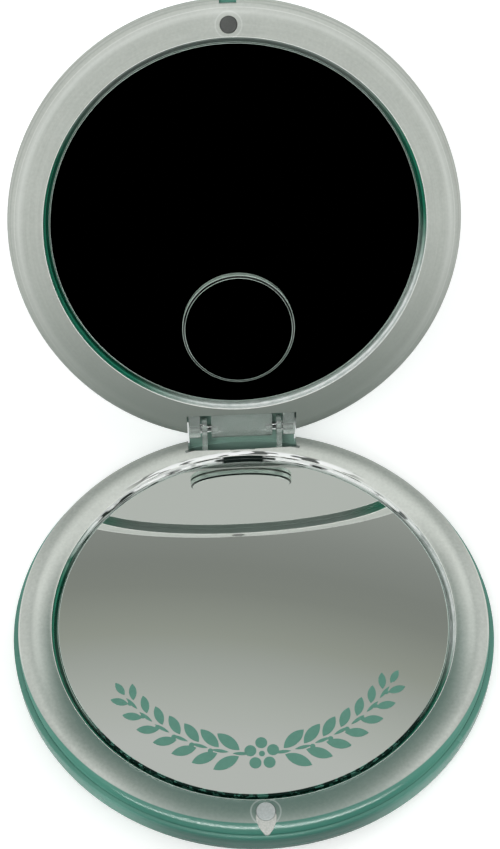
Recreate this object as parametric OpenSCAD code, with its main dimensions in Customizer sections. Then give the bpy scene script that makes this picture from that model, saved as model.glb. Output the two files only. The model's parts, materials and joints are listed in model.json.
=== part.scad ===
// Round folding compact mirror, standing open: a coloured base and lid, each with
// a clear frame round a recessed glass mirror, joined by a two pin hinge.
// The base stands on z = 0 with its centre on the z axis and its hinge at +y.
// Each half is drawn face up on z = 0. The lid is then turned over onto the
// base and swung open about the hinge axis.

/* [Case] */
// Outside diameter of both halves
case_d = 82; // [74:0.5:100]
// Thickness of one half
half_h = 6.5; // [6.3:0.1:9]
// Wall of a cover
wall = 1.6; // [1.2:0.1:1.8]
// Outer plate of a cover
plate_t = 1.6; // [1.2:0.1:1.8]
// Radius round the outside of a cover
cover_edge_r = 3.9; // [3:0.1:4]
// Height of a frame's flange, over the wall of the cover
flange_h = 2.4; // [2.2:0.05:2.5]
// Thickness of the low wall that the base's cover has behind the hinge
rim_w = 0.8; // [0.6:0.1:1]
// Drop from the base's face to the top of that wall
rim_drop = 0.4; // [0.2:0.05:0.6]
// Thickness of the pearl card ring between a cover and its frame
liner_t = 0.4; // [0.2:0.05:0.4]

/* [Frames] */
// Width of a frame's ring, from the outside to the opening round a mirror
ring_w = 6.6; // [6.4:0.1:9]
// Depth from a frame's face to its mirror
recess_depth = 1.15; // [1.1:0.05:1.4]
// Width of the wall round the mirror's tray
tray_wall = 1; // [0.8:0.1:1.2]
// Thickness of the tray under a mirror
tray_t = 1; // [0.6:0.1:1]
// Thickness of the clear face over the hollow channel
face_t = 1.2; // [0.8:0.1:1.4]
// Thickness of the skirt that drops into a cover
skirt_t = 1; // [0.8:0.1:1.2]
// Gap between a frame and the cover round it
frame_gap = 0.08; // [0.05:0.01:0.12]
// Step from the outside of the base's cover to the flange of its frame
base_step = 0.9; // [0.6:0.1:1.1]
// Radius round the edge of the base's frame
base_edge_r = 0.6; // [0.3:0.1:1]
// Radius round the outer edge of the lid's frame
lid_edge_r = 2.3; // [1.5:0.1:2.4]

/* [Mirrors] */
// Gap round a mirror glass in its opening
mirror_gap = 0.9; // [0.3:0.1:1.5]
// Thickness of a mirror glass
mirror_t = 1.5; // [1.2:0.1:1.6]
// Width and depth of the ground edge of a glass
ground_edge = 0.4; // [0.2:0.05:0.5]
// Thickness of the tape under a mirror
tape_t = 0.35; // [0.2:0.05:0.35]
// Margin of bare glass round the tape under a mirror
tape_margin = 3.5; // [2:0.5:8]
// Diameter of the magnifying spot mirror
spot_d = 20.6; // [18:0.2:24]
// Thickness of the spot mirror
spot_t = 1; // [0.8:0.1:1.2]
// Thickness of the tape under the spot mirror
spot_tape_t = 0.2; // [0.1:0.05:0.25]
// Gap from the spot mirror to the lid mirror's edge, at the hinge
spot_gap = 4.3; // [2:0.1:12]

/* [Magnets] */
// Diameter of a magnet
magnet_d = 3; // [2.5:0.1:3.2]
// Thickness of a magnet
magnet_t = 1.6; // [1.2:0.1:1.6]
// Distance from the outside of a half to the middle of its magnet
magnet_inset = 4.4; // [4.2:0.1:4.6]
// Clear skin left over a magnet
skin_t = 0.5; // [0.3:0.1:0.6]
// Gap round a magnet in its pocket
magnet_gap = 0.05; // [0.02:0.01:0.1]
// Wall of the boss round a magnet
boss_wall = 1.05; // [0.8:0.05:1.1]

/* [Hinge] */
// Angle between the two faces, as it stands
open_angle = 116.5; // [90:0.5:138]
// Distance from the outside of the case to the hinge axis
hinge_inset = 2; // [1.8:0.05:2.1]
// Height of the hinge axis over the base's face
hinge_rise = 2.4; // [2.3:0.05:2.5]
// Width of the notch in both frames
notch_w = 20.4; // [19.6:0.1:26]
// Depth of that notch, from the outside of the case
notch_d = 5.4; // [5.3:0.1:5.5]
// Depth of that notch in the plate of the lid's cover
notch_sink = 0.2; // [0.1:0.05:0.4]
// Diameter of a knuckle
knuckle_d = 3.8; // [3:0.1:3.8]
// Gap between the side of the notch and the lid's outer knuckle
notch_gap = 0.25; // [0.15:0.05:0.5]
// Gap between the lid's middle knuckle and a base ear
barrel_gap = 0.8; // [0.3:0.05:1]
// Width of a base ear
ear_w = 1; // [0.8:0.05:1.1]
// Side gap between an ear and the lid's outer knuckle
side_gap = 0.25; // [0.2:0.05:0.3]
// Width of the lid's outer knuckle
lug_w = 2.2; // [1.6:0.1:2.2]
// Diameter of a hinge pin
pin_d = 1.2; // [1:0.05:1.4]
// Depth of a pin in the middle knuckle
pin_bite = 1.3; // [1:0.1:2]
// Depth of a pin in an outer knuckle
pin_tail = 1.8; // [1.2:0.1:1.9]
// Running gap round a pin in a base ear
pin_gap = 0.05; // [0.03:0.01:0.08]

/* [Thumb rest] */
// Depth of the sloping thumb rest, from the outside of a half
thumb_d = 2.4; // [1.8:0.1:2.6]
// Slope of the thumb rest
thumb_slope = 24; // [15:1:30]
// Width of the small slot in the lid's front edge
slot_w = 3; // [2:0.1:4]
// Depth of that slot
slot_d = 0.9; // [0.5:0.1:1.2]

/* [Garland] */
// Distance from the base mirror's edge to the garland's stem
stem_inset = 7.1; // [6:0.1:10]
// Width of the stem
stem_w = 0.55; // [0.4:0.05:0.8]
// Thickness of the ink
ink_t = 0.04; // [0.03:0.01:0.1]
// Length of the largest leaf
leaf_l = 4.6; // [3:0.1:5]
// Width of the largest leaf
leaf_w = 1.9; // [1.2:0.1:2.2]
// Pairs of leaves on each side
leaf_pairs = 7; // [4:1:8]
// Angle from one pair of leaves to the next, round the mirror
leaf_step = 7.4; // [7:0.1:8]
// Radius of a petal of the middle flower
petal_r = 0.95; // [0.7:0.05:1.1]
// Radius of a berry
berry_r = 0.42; // [0.3:0.02:0.5]

/* [Hidden] */
$fn = 180;
small_fn = 48;
case_r = case_d / 2;
cut = half_h;
shoulder_h = half_h - flange_h;
edge_r = min(cover_edge_r, shoulder_h);
cover_bore_r = case_r - wall;
rim_bore_r = case_r - rim_w;
base_flange_r = case_r - base_step;
skirt_r = cover_bore_r - frame_gap;
liner_r = skirt_r - frame_gap;
frame_z = plate_t + liner_t;
recess_r = case_r - ring_w;
mirror_r = recess_r - mirror_gap;
tray_r = recess_r + tray_wall;
mirror_top_z = half_h - recess_depth;
mirror_z = mirror_top_z - mirror_t;
tape_z = mirror_z - tape_t;
channel_top_z = half_h - face_t;
pocket_r = magnet_d / 2 + magnet_gap;
boss_r = pocket_r + boss_wall;
magnet_z = half_h - skin_t - magnet_t;
boss_z = magnet_z - magnet_t / 2;
hinge_y = case_r - hinge_inset;
notch_y = case_r - notch_d;
magnet_y = case_r - magnet_inset;
thumb_y = case_r - thumb_d;
spot_y = mirror_r - spot_gap - spot_d / 2;
stem_r = mirror_r - stem_inset;
hinge_z = half_h + hinge_rise;
lid_hinge_z = half_h - hinge_rise;
knuckle_r = knuckle_d / 2;
lug_x = notch_w / 2 - notch_gap - lug_w;
ear_x = lug_x - side_gap - ear_w;
barrel_w = 2 * (ear_x - barrel_gap);
pin_x = barrel_w / 2 - pin_bite;
pin_l = lug_x + pin_tail - pin_x;
block_w = notch_w + 2 * tray_wall;
leaf_angle = 34;
leaf_end_share = 0.6;
petals = 5;
teal = [0.36, 0.6, 0.54];
clear_plastic = [0.8, 0.85, 0.82, 0.5];
pearl = [0.72, 0.75, 0.72];
silver = [0.8, 0.82, 0.82];
steel = [0.55, 0.57, 0.58];
tape_white = [0.92, 0.92, 0.88];

// Turns a half that is drawn face up over onto the base, and opens it
module open_lid() {
    translate([0, hinge_y, hinge_z]) rotate([-open_angle, 0, 0])
        translate([0, -hinge_y, -hinge_z])
            translate([0, 0, 2 * half_h]) rotate([0, 180, 0]) children();
}

// The space from a distance y outwards at the hinge side, between two heights
module hinge_space(width, y, low, high) {
    translate([-width / 2, y, low]) cube([width, case_r, high - low]);
}

// The sloping cut under which a thumb opens the case
module thumb_cut() {
    translate([0, -thumb_y, half_h]) rotate([thumb_slope, 0, 0])
        translate([-case_r, -case_r, 0]) cube([case_d, case_r, cut]);
}

// Outline of a cover with its round outer edge, up to a height
module cover_outline(top) {
    square([case_r - edge_r, top]);
    translate([0, edge_r]) square([case_r, top - edge_r]);
    intersection() {
        translate([case_r - edge_r, edge_r]) circle(edge_r, $fn = small_fn);
        square([case_r, edge_r]);
    }
}

module base_cover() {
    color(teal) difference() {
        rotate_extrude() difference() {
            cover_outline(half_h - rim_drop);
            translate([0, plate_t]) square([cover_bore_r, half_h]);
            translate([0, shoulder_h]) square([rim_bore_r, half_h]);
        }
        difference() {
            translate([0, 0, shoulder_h]) cylinder(h = half_h, r = case_r + cut);
            hinge_space(notch_w - 2 * notch_gap, 0, 0, 2 * half_h);
        }
    }
}

module lid_cover_half() {
    difference() {
        rotate_extrude() difference() {
            cover_outline(shoulder_h);
            translate([0, plate_t]) square([cover_bore_r, half_h]);
        }
        hinge_space(notch_w, notch_y, plate_t - notch_sink, half_h);
    }
}

// Pearl card ring that shows through the clear frame, which stands on it
module liner() {
    difference() {
        translate([0, 0, plate_t]) cylinder(h = liner_t, r = liner_r);
        cylinder(h = half_h, r = recess_r);
        hinge_space(block_w, 0, 0, half_h);
    }
}

// Outline of a frame: its flange laps over the wall of the cover and has a round edge
module frame_outline(flange_r, edge) {
    translate([0, frame_z]) square([skirt_r, half_h - frame_z - edge]);
    translate([0, shoulder_h]) square([flange_r - edge, half_h - shoulder_h]);
    translate([flange_r - edge, shoulder_h]) intersection() {
        translate([0, half_h - shoulder_h - edge]) circle(edge, $fn = small_fn);
        square(half_h);
    }
    translate([0, shoulder_h]) square([flange_r, half_h - shoulder_h - edge]);
}

// Hollow channel under a frame's face, stopped at the hinge and round the magnet
module frame_channel() {
    difference() {
        rotate_extrude() translate([tray_r, 0])
            square([skirt_r - skirt_t - tray_r, channel_top_z]);
        hinge_space(block_w, 0, 0, half_h);
        translate([0, -magnet_y, boss_z]) cylinder(h = half_h, r = boss_r, $fn = small_fn);
    }
}

// Spaces cut from a frame: tray, underside, channel, magnet pocket and hinge notch
module frame_spaces() {
    translate([0, 0, tape_z]) cylinder(h = half_h, r = recess_r);
    translate([0, 0, -cut]) cylinder(h = cut + tape_z - tray_t, r = recess_r);
    frame_channel();
    translate([0, -magnet_y, 0])
        cylinder(h = half_h - skin_t, r = pocket_r, $fn = small_fn);
    hinge_space(notch_w, notch_y, -cut, half_h + cut);
    thumb_cut();
}

// One ear of the base's frame, as seen along the hinge axis
module ear_outline() {
    lean = atan2(hinge_z - half_h + tray_wall, hinge_y - notch_y);
    difference() {
        union() {
            translate([hinge_y, hinge_z]) circle(knuckle_r, $fn = small_fn);
            polygon([
                [notch_y - tray_wall, frame_z + tray_wall],
                [notch_y - tray_wall, half_h - tray_wall],
                [notch_y + side_gap, half_h - side_gap],
                [hinge_y - knuckle_r * sin(lean), hinge_z + knuckle_r * cos(lean)],
                [hinge_y + knuckle_r * sin(lean), hinge_z - knuckle_r * cos(lean)]
            ]);
        }
        translate([hinge_y, hinge_z]) circle(pin_d / 2 + pin_gap, $fn = small_fn);
    }
}

// Lays an outline drawn in y and z along the x axis, from x outwards
module along_x(x, width) {
    translate([x, 0, 0]) rotate([90, 0, 90]) linear_extrude(width) children();
}

module base_frame() {
    color(clear_plastic) {
        difference() {
            rotate_extrude() frame_outline(base_flange_r, base_edge_r);
            frame_spaces();
        }
        for (side = [0, 1]) mirror([side, 0, 0]) along_x(ear_x, ear_w) ear_outline();
    }
}

// One knuckle of the lid's frame, as seen along the hinge axis
module knuckle_outline() {
    translate([hinge_y, lid_hinge_z]) circle(knuckle_r, $fn = small_fn);
    translate([notch_y - tray_wall, lid_hinge_z - knuckle_r])
        square([hinge_y - notch_y + tray_wall, knuckle_d]);
}

module lid_frame_half() {
    difference() {
        union() {
            difference() {
                rotate_extrude() frame_outline(case_r, lid_edge_r);
                frame_spaces();
                translate([-slot_w / 2, -case_r - cut, 0])
                    cube([slot_w, cut + slot_d, half_h + cut]);
            }
            along_x(-barrel_w / 2, barrel_w) knuckle_outline();
            for (side = [0, 1])
                mirror([side, 0, 0]) along_x(lug_x, lug_w) knuckle_outline();
        }
        for (side = [0, 1]) mirror([side, 0, 0]) pin_shape();
    }
}

// A pin, or the hole that it fills, on the +x side of a half that is drawn face up
module pin_shape() {
    translate([pin_x, hinge_y, lid_hinge_z]) rotate([0, 90, 0])
        cylinder(h = pin_l, r = pin_d / 2, $fn = small_fn);
}

// A glass disc with its ground edge, from a height upwards
module glass(d, t, z) {
    translate([0, 0, z]) {
        cylinder(h = t - ground_edge, r = d / 2);
        translate([0, 0, t - ground_edge])
            cylinder(h = ground_edge, r1 = d / 2, r2 = d / 2 - ground_edge);
    }
}

module mirror_tape() {
    translate([0, 0, tape_z]) cylinder(h = tape_t, r = mirror_r - tape_margin);
}

module magnet() {
    translate([0, -magnet_y, magnet_z])
        cylinder(h = magnet_t, r = magnet_d / 2, $fn = small_fn);
}

// A pointed leaf from the origin along x
module leaf(length, width) {
    arc_r = (length * length + width * width) / (4 * width);
    intersection() {
        translate([length / 2, arc_r - width / 2]) circle(arc_r, $fn = small_fn);
        translate([length / 2, width / 2 - arc_r]) circle(arc_r, $fn = small_fn);
    }
}

// Half of the garland, from the flower round to the +x side
module sprig() {
    start = leaf_step / 2 + atan2(2 * petal_r, stem_r);
    for (i = [0 : leaf_pairs - 1]) {
        share = 1 - (1 - leaf_end_share) * i / leaf_pairs;
        rotate(start + i * leaf_step) {
            for (side = [-1, 1])
                translate([0, -stem_r + side * stem_w]) rotate(side * leaf_angle)
                    leaf(leaf_l * share, leaf_w * share);
            translate([leaf_l * share, -stem_r]) circle(berry_r, $fn = small_fn);
        }
        rotate(start + (i - 1 / 2) * leaf_step) stem_piece();
    }
    rotate(start + (leaf_pairs - 1 / 2) * leaf_step) translate([0, -stem_r])
        leaf(leaf_l * leaf_end_share, leaf_w * leaf_end_share);
}

// A short pointed length of stem between two pairs of leaves
module stem_piece() {
    translate([0, -stem_r]) leaf(leaf_l * leaf_end_share, stem_w);
}

module flower() {
    translate([0, -stem_r]) {
        circle(petal_r / 2, $fn = small_fn);
        for (i = [0 : petals - 1])
            rotate(90 + i * 360 / petals) translate([2 * petal_r, 0])
                circle(petal_r, $fn = small_fn);
    }
}

module mirror_print() {
    color(teal) translate([0, 0, mirror_top_z]) linear_extrude(ink_t) {
        flower();
        for (side = [0, 1]) mirror([side, 0, 0]) sprig();
    }
}

module base_liner() { color(pearl) liner(); }
module base_magnet() { color(steel) magnet(); }
module base_mirror_tape() { color(tape_white) mirror_tape(); }
module base_mirror() { color(silver) glass(2 * mirror_r, mirror_t, mirror_z); }
module lid_cover() { color(teal) open_lid() lid_cover_half(); }
module lid_liner() { color(pearl) open_lid() liner(); }
module lid_frame() { color(clear_plastic) open_lid() lid_frame_half(); }
module lid_magnet() { color(steel) open_lid() magnet(); }
module lid_mirror_tape() { color(tape_white) open_lid() mirror_tape(); }
module lid_mirror() { color(silver) open_lid() glass(2 * mirror_r, mirror_t, mirror_z); }
module spot_mirror_tape() {
    color(tape_white) open_lid() translate([0, spot_y, mirror_top_z])
        cylinder(h = spot_tape_t, r = spot_d / 2 - 2 * ground_edge);
}
module spot_mirror() {
    color(silver) open_lid() translate([0, spot_y, 0])
        glass(spot_d, spot_t, mirror_top_z + spot_tape_t);
}
module hinge_pin_right() { color(steel) open_lid() mirror([1, 0, 0]) pin_shape(); }
module hinge_pin_left() { color(steel) open_lid() pin_shape(); }

base_cover();
base_liner();
base_frame();
base_magnet();
base_mirror_tape();
base_mirror();
mirror_print();
lid_cover();
lid_liner();
lid_frame();
lid_magnet();
lid_mirror_tape();
lid_mirror();
spot_mirror_tape();
spot_mirror();
hinge_pin_left();
hinge_pin_right();
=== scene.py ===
# Folding compact mirror: a glossy teal base and lid, each with a frosted clear frame
# round a mirror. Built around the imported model, in metres.
import bpy, bmesh, json
from math import radians, sin, cos, pi, hypot
from mathutils import Matrix, Vector


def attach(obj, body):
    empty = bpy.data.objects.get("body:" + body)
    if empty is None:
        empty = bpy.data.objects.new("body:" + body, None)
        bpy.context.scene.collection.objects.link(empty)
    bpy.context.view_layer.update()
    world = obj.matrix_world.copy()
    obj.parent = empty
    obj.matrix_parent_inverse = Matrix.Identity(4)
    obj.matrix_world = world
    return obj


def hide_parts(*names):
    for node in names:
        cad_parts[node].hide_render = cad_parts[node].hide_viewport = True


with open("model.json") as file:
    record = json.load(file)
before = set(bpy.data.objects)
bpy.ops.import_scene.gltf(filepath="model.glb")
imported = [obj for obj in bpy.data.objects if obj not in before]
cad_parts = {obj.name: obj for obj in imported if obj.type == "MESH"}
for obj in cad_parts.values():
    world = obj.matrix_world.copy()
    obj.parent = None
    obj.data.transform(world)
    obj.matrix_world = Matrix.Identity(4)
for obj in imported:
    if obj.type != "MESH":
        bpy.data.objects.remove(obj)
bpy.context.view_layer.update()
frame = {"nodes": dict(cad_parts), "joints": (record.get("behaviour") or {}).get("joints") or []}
mm = 0.001
sameSpot, nearZero = 1e-7, 1e-9  # in metres: corners this near are one, and this is nothing
scene = bpy.context.scene
print("frame loaded")


def linear(hexCode):  # sRGB hex to linear RGBA
    parts = [int(hexCode[i:i + 2], 16) / 255 for i in (1, 3, 5)]
    return [c / 12.92 if c <= 0.04045 else ((c + 0.055) / 1.055) ** 2.4 for c in parts] + [1]


def node(tree, kind, settings={}, inputs={}):  # adds one node with its settings and links
    n = tree.nodes.new(kind)
    for key, value in settings.items():
        setattr(n, key, value)
    for key, value in inputs.items():
        if isinstance(value, bpy.types.NodeSocket):
            tree.links.new(value, n.inputs[key])
        else:
            n.inputs[key].default_value = value
    return n


def material(name):  # an empty node material and its tree
    m = bpy.data.materials.new(name)
    m.use_nodes = True
    m.node_tree.nodes.clear()
    return m, m.node_tree


# Camera, solved from the rims, mirrors, magnets and reflections in the photograph
camera = dict(place=(-6.92, -146.41, 222.87), elevation=43.653, azimuth=-1.217, roll=-1.514,
              focalPixels=1494.8, centreX=222, centreY=285, width=500, height=849, nearest=10)


def makeCamera(c):
    e, a, r = radians(c["elevation"]), radians(c["azimuth"]), radians(c["roll"])
    back = Vector((sin(a) * cos(e), -cos(a) * cos(e), sin(e)))
    right = (-back).cross(Vector((0, 0, 1))).normalized()
    up = right.cross(-back)
    right, up = right * cos(r) + up * sin(r), up * cos(r) - right * sin(r)
    data = bpy.data.cameras.new("camera")
    data.lens = c["focalPixels"] * data.sensor_width / c["height"]
    data.shift_x = (c["width"] / 2 - c["centreX"]) / c["height"]
    data.shift_y = (c["centreY"] - c["height"] / 2) / c["height"]
    data.clip_start = c["nearest"] * mm
    ob = bpy.data.objects.new("camera", data)
    scene.collection.objects.link(ob)
    m = Matrix((right, up, back)).transposed().to_4x4()
    m.translation = Vector(c["place"]) * mm
    ob.matrix_world = m
    scene.camera = ob


makeCamera(camera)

# Sizes that several pieces share, in mm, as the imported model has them
case = dict(radius=41, half=6.5, steps=192)
boss = dict(place=36.6, outer=2.6, bottom=3.6, hole=1.55, skin=0.12)
joint = frame["joints"][0]
hinge = Vector(joint["pos_m"])
restAngle = radians(-joint["range_deg"][0])  # from closed to where it stands
openLid = (Matrix.Translation(hinge) @ Matrix.Rotation(-restAngle, 4, "X") @ Matrix.Translation(-hinge)
           @ Matrix.Translation((0, 0, 2 * case["half"] * mm)) @ Matrix.Rotation(pi, 4, "Y"))

# Materials. Their sizes and places are in mm, and these two settings are used by many nodes
soft = {"interpolation_type": "SMOOTHSTEP"}
tints = {"data_type": "RGBA"}


def makeTwoTone(name, c, cells=False):  # light and dark of one colour, in clouds or in small cells
    m, t = material(name)
    place = node(t, "ShaderNodeTexCoord").outputs["Object"]
    if cells:
        pattern = node(t, "ShaderNodeTexVoronoi", {}, {"Vector": place, "Scale": 1 / (c["size"] * mm)})
    else:
        pattern = node(t, "ShaderNodeTexNoise", {}, {
            "Vector": place, "Scale": 1 / (c["size"] * mm), "Detail": c["detail"]})
    low, high = (c["light"], c["dark"]) if cells else (c["dark"], c["light"])
    tint = node(t, "ShaderNodeMix", tints, {0: pattern.outputs[0], 6: linear(low), 7: linear(high)})
    shader = node(t, "ShaderNodeBsdfPrincipled", {}, {"Base Color": tint.outputs[2], **c["shader"]})
    node(t, "ShaderNodeOutputMaterial", {}, {"Surface": shader.outputs[0]})
    return m


# Injection moulded ABS with pearl pigment: glossy, with slight moulding waviness.
# Along the front the wall below its rim is painted darker, a painted shade where little light comes up to it.
tealShell = dict(light="#5b9485", dark="#4e8677", shadeFull="#26544a", high=6, low=5.1, side=-33, front=-40,
                 waveSize=9, grainSize=0.25, glossy=0.2, dull=0.32)


def makeTealShell(name, c):
    m, t = material(name)
    place = node(t, "ShaderNodeTexCoord").outputs["Object"]
    wave = node(t, "ShaderNodeTexNoise", {}, {
        "Vector": place, "Scale": 1 / (c["waveSize"] * mm), "Detail": 3})
    tint = node(t, "ShaderNodeMix", tints, {0: wave.outputs[0], 6: linear(c["dark"]), 7: linear(c["light"])})
    axes = node(t, "ShaderNodeSeparateXYZ", {}, {0: place})
    # painted shade: darker low on the front wall
    down = node(t, "ShaderNodeMapRange", soft, {
        "Value": axes.outputs[2], "From Min": c["high"] * mm, "From Max": c["low"] * mm})
    near = node(t, "ShaderNodeMapRange", soft, {
        "Value": axes.outputs[1], "From Min": c["side"] * mm, "From Max": c["front"] * mm})
    foot = node(t, "ShaderNodeMath", {"operation": "MULTIPLY"}, {0: down.outputs[0], 1: near.outputs[0]})
    tint = node(t, "ShaderNodeMix", tints, {0: foot.outputs[0], 6: tint.outputs[2], 7: linear(c["shadeFull"])})
    grain = node(t, "ShaderNodeTexNoise", {}, {
        "Vector": place, "Scale": 1 / (c["grainSize"] * mm), "Detail": 2})
    bump = node(t, "ShaderNodeBump", {}, {
        "Height": grain.outputs[0], "Strength": 0.06, "Distance": 0.02 * mm})
    rough = node(t, "ShaderNodeMapRange", {}, {
        "Value": wave.outputs[0], "To Min": c["glossy"], "To Max": c["dull"]})
    shader = node(t, "ShaderNodeBsdfPrincipled", {}, {
        "Base Color": tint.outputs[2], "Roughness": rough.outputs[0], "IOR": 1.53,
        "Coat Weight": 0.3, "Coat Roughness": 0.12, "Normal": bump.outputs[0]})
    node(t, "ShaderNodeOutputMaterial", {}, {"Surface": shader.outputs[0]})
    return m


tealMat = makeTealShell("tealPearlAbs", tealShell)
# A lighter copy of the teal for the faces in the hinge's notch: painted light, lifting them out of their
# shade
notchTealPaintedLight = makeTealShell("tealAbsPaintedLightInNotch", dict(tealShell, light="#9dbcb0", dark="#8dafa2"))

# Clear polystyrene from a spark eroded mould, over pearl card: a satin grey with a fine mottle
frostedPart = dict(light="#c3c8c1", dark="#a3a9a2", mottleSize=0.5, cloudSize=8, cloudShare=0.35,
                   grainSize=0.3, rough=0.42, ior=1.59)


def frostMottle(t, place, c):
    mottle = node(t, "ShaderNodeTexNoise", {}, {
        "Vector": place, "Scale": 1 / (c["mottleSize"] * mm), "Detail": 4})
    cloud = node(t, "ShaderNodeTexNoise", {}, {
        "Vector": place, "Scale": 1 / (c["cloudSize"] * mm), "Detail": 2})
    both = node(t, "ShaderNodeMix", {}, {0: c["cloudShare"], 2: mottle.outputs[0], 3: cloud.outputs[0]})
    return both.outputs[0]


def frostBump(t, place, c):
    grain = node(t, "ShaderNodeTexNoise", {}, {
        "Vector": place, "Scale": 1 / (c["grainSize"] * mm), "Detail": 3})
    bump = node(t, "ShaderNodeBump", {}, {"Height": grain.outputs[0], "Strength": 0.3, "Distance": 0.03 * mm})
    return bump.outputs[0]


# The boss shows through the frosted face as a fine light ring round the magnet, a painted highlight
bossHighlight = dict(radius=2.3, width=0.16, share=0.2, colour="#eef1ee")


def paintBossHighlight(t, place, magnetAt, tint, c):
    off = node(t, "ShaderNodeVectorMath", {"operation": "DISTANCE"}, {0: place, 1: magnetAt})
    off = node(t, "ShaderNodeMath", {"operation": "SUBTRACT"}, {0: off.outputs["Value"], 1: c["radius"] * mm})
    off = node(t, "ShaderNodeMath", {"operation": "ABSOLUTE"}, {0: off.outputs[0]})
    line = node(t, "ShaderNodeMapRange", {}, {
        "Value": off.outputs[0], "From Min": c["width"] * mm, "From Max": c["width"] * mm / 2,
        "To Max": c["share"]})
    # painted highlight round the boss
    tint = node(t, "ShaderNodeMix", tints, {0: line.outputs[0], 6: tint, 7: linear(c["colour"])})
    return tint.outputs[2]


# The lid's ring: polishing tracks run round it, it is painted darker towards the hinge (painted shade), and
# its rounded edge has painted highlights and painted dark lines, as bands of (distance from the lid's axis,
# half width, share, colour)
lidFrostPart = dict(frostedPart, shade="#757e77", low=8, high=50, trackWide=0.3, trackLong=14, trackDepth=0.3,
                    bands=[(38.8, 0.9, 0.4, "#e2e6e1"), (39.55, 0.15, 0.35, "#e9ece8"),
                           (40.3, 0.14, 0.45, "#868e87"), (40.75, 0.12, 0.45, "#868e87")])


def makeLidFrost(c):
    m, t = material("sparkErodedClearPsPaintedLight")
    place = node(t, "ShaderNodeTexCoord").outputs["Object"]
    axes = node(t, "ShaderNodeSeparateXYZ", {}, {0: place})
    middle, normal = openLid @ Vector((0, 0, case["half"] * mm)), openLid.to_3x3() @ Vector((0, 0, 1))
    arm = node(t, "ShaderNodeVectorMath", {"operation": "SUBTRACT"}, {0: place, 1: middle})
    arm = node(t, "ShaderNodeVectorMath", {"operation": "CROSS_PRODUCT"}, {0: arm.outputs[0], 1: normal})
    away = node(t, "ShaderNodeVectorMath", {"operation": "LENGTH"}, {0: arm.outputs[0]}).outputs["Value"]
    out = node(t, "ShaderNodeMath", {"operation": "DIVIDE"}, {0: away, 1: c["trackWide"] * mm})
    along = node(t, "ShaderNodeVectorMath", {"operation": "SCALE"}, {
        0: place, "Scale": 1 / (c["trackLong"] * mm)})
    side = node(t, "ShaderNodeSeparateXYZ", {}, {0: along.outputs[0]})
    lay = node(t, "ShaderNodeCombineXYZ", {}, {0: out.outputs[0], 1: side.outputs[0], 2: side.outputs[2]})
    track = node(t, "ShaderNodeTexNoise", {}, {"Vector": lay.outputs[0], "Scale": 1, "Detail": 2})
    track = node(t, "ShaderNodeMapRange", {}, {
        "Value": track.outputs[0], "To Min": -c["trackDepth"], "To Max": c["trackDepth"]})
    tone = node(t, "ShaderNodeMath", {"operation": "ADD"}, {0: frostMottle(t, place, c), 1: track.outputs[0]})
    grey = node(t, "ShaderNodeMix", tints, {0: tone.outputs[0], 6: linear(c["dark"]), 7: linear(c["light"])})
    # painted highlights and painted dark lines along the rounded edge
    for at, wide, share, colour in c["bands"]:
        off = node(t, "ShaderNodeMath", {"operation": "SUBTRACT"}, {0: away, 1: at * mm})
        off = node(t, "ShaderNodeMath", {"operation": "ABSOLUTE"}, {0: off.outputs[0]})
        band = node(t, "ShaderNodeMapRange", {}, {
            "Value": off.outputs[0], "From Min": wide * mm, "From Max": 0, "To Max": share})
        grey = node(t, "ShaderNodeMix", tints, {0: band.outputs[0], 6: grey.outputs[2], 7: linear(colour)})
    # painted shade, darker towards the hinge
    down = node(t, "ShaderNodeMapRange", soft, {
        "Value": axes.outputs[2], "From Min": c["high"] * mm, "From Max": c["low"] * mm})
    tint = node(t, "ShaderNodeMix", tints, {0: down.outputs[0], 6: grey.outputs[2], 7: linear(c["shade"])})
    magnetAt = openLid @ (Vector((0, -boss["place"], case["half"])) * mm)
    tint = paintBossHighlight(t, place, magnetAt, tint.outputs[2], bossHighlight)
    shader = node(t, "ShaderNodeBsdfPrincipled", {}, {
        "Base Color": tint, "Roughness": c["rough"], "IOR": c["ior"], "Normal": frostBump(t, place, c)})
    node(t, "ShaderNodeOutputMaterial", {}, {"Surface": shader.outputs[0]})
    return m


lidFrost = makeLidFrost(lidFrostPart)

# Painted light and shade of the base's crown slopes, as (distance from the middle, lightness) at its side,
# back and front
crownPaintedLight = dict(light="#d3d8d1", dark="#8b938c", inner=34.4, outer=40.2, mottle=0.35,
                 sideTo=4, backFrom=24, sideFrom=-6, frontTo=-22,
                 side=[(34.5, 0.5), (34.9, 0.22), (35.4, 0.45), (36.8, 1.0), (37.3, 0.9), (37.9, 0.5),
                       (39.7, 0.6), (39.95, 1.4)],
                 back=[(34.5, 0.95), (36.4, 0.9), (37.3, 0.6), (38.2, 0.2), (39, 0.15), (40, 0.4)],
                 front=[(34.5, 0.05), (35, 0), (36.8, 0.12), (37.8, 0.35), (38.6, 0.55), (39.7, 0.3),
                        (39.95, 0.8)])
# Painted shade along the front: the frosting is painted darker and greener towards the mirror and the middle,
# and the teal under it shows up to the polished rim, painted darker towards the middle
frontShadeAndRim = dict(tint="#3f6358", shadeFull=34.0, shadeStart=38.8, back=14, front=-22, rim="#4f8b7b",
                 rimDark="#34695c", near=-29, close=-38, share=0.55, rimWide=40.15, rimDeep=39.25,
                 rimShift=0.8, rimSoft=0.002, rimRough=0.16)
# Light piped round the clear inner lip at the back, in bright and dark streaks
pipedLip = dict(bright="#fbfefd", dark="#262f2b", inner=35.0, outer=35.4, front=26, back=31, share=0.95,
                streakTurn=7, streakHigh=0.55, streakFrom=0.43, streakTo=0.49)


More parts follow.
